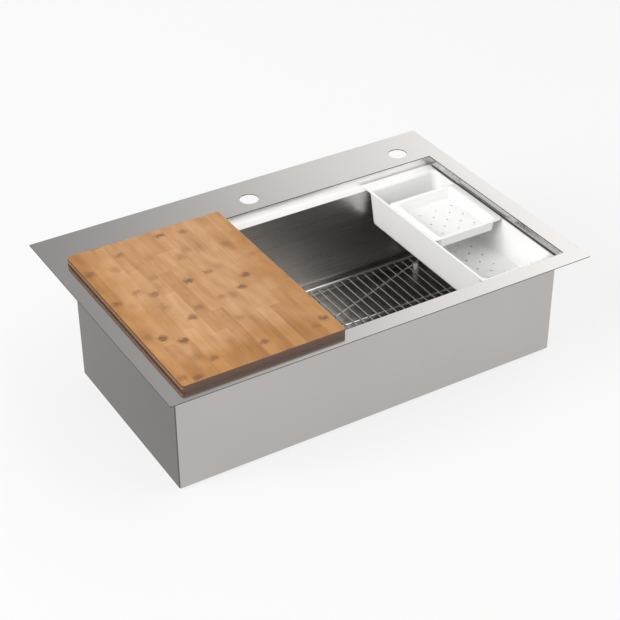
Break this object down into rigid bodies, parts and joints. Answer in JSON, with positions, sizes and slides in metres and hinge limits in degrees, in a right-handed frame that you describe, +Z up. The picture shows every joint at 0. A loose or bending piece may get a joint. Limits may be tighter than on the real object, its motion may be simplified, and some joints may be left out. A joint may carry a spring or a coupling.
{
  "type": "workstation kitchen sink",
  "caption": "Drop-in single-bowl workstation sink with a ledge track, sliding bamboo cutting board, colander bin with strainer tray, and a bottom wire rack.",
  "frame": {"origin": "middle of the deck in plan, on the surface that the sink stands on", "axes": "+X to the right along the long side, +Y to the tap side, +Z up; the bowl opens upward"},
  "size_m": [0.8382, 0.5588, 0.2377],
  "materials": {
    "deck_steel": "brushed along the long side",
    "bowl_steel": "satin, brushed",
    "wire_steel": "bright polished wire",
    "pad_rubber": "matt damping rubber",
    "foot_rubber": "pale translucent rubber",
    "bamboo": "oiled bamboo strips",
    "bamboo_core": "oiled bamboo, cross grain",
    "white_plastic": "satin moulded white"
  },
  "bodies": {
    "sink": {"deck_plate": "deck_steel", "deck_seal": "pad_rubber", "recess_wall_front": "bowl_steel", "recess_wall_rear": "bowl_steel", "ledge_front": "bowl_steel", "ledge_rear": "bowl_steel", "bowl_floor": "bowl_steel", "bowl_wall_front": "bowl_steel", "bowl_wall_rear": "bowl_steel", "bowl_wall_left": "bowl_steel", "bowl_wall_right": "bowl_steel", "tap_stiffener": "bowl_steel", "hook_rail_front": "bowl_steel", "hook_rail_rear": "bowl_steel", "hook_rail_left": "bowl_steel", "hook_rail_right": "bowl_steel", "sound_pads": "pad_rubber"},
    "board": {"board_top_ply": "bamboo", "board_core_ply": "bamboo_core", "board_bottom_ply": "bamboo", "board_guides": "bamboo_core"},
    "bin": {"bin": "white_plastic"},
    "tray": {"tray": "white_plastic"},
    "rack": {"rack_rail": "wire_steel", "rack_cross_wires": "wire_steel", "rack_bars": "wire_steel", "rack_braces": "wire_steel", "rack_feet": "foot_rubber"}
  },
  "joints": [
    {"name": "board_slide", "type": "slide", "parent": "sink", "child": "board", "axis": [1, 0, 0], "range_m": [0, 0.466]},
    {"name": "bin_slide", "type": "slide", "parent": "sink", "child": "bin", "axis": [1, 0, 0], "range_m": [-0.607, 0]},
    {"name": "tray_slide", "type": "slide", "parent": "bin", "child": "tray", "axis": [0, 1, 0], "range_m": [-0.128, 0.05]},
    {"name": "rack_lift", "type": "slide", "parent": "sink", "child": "rack", "axis": [0, 0, 1], "range_m": [0, 0.1]}
  ]
}
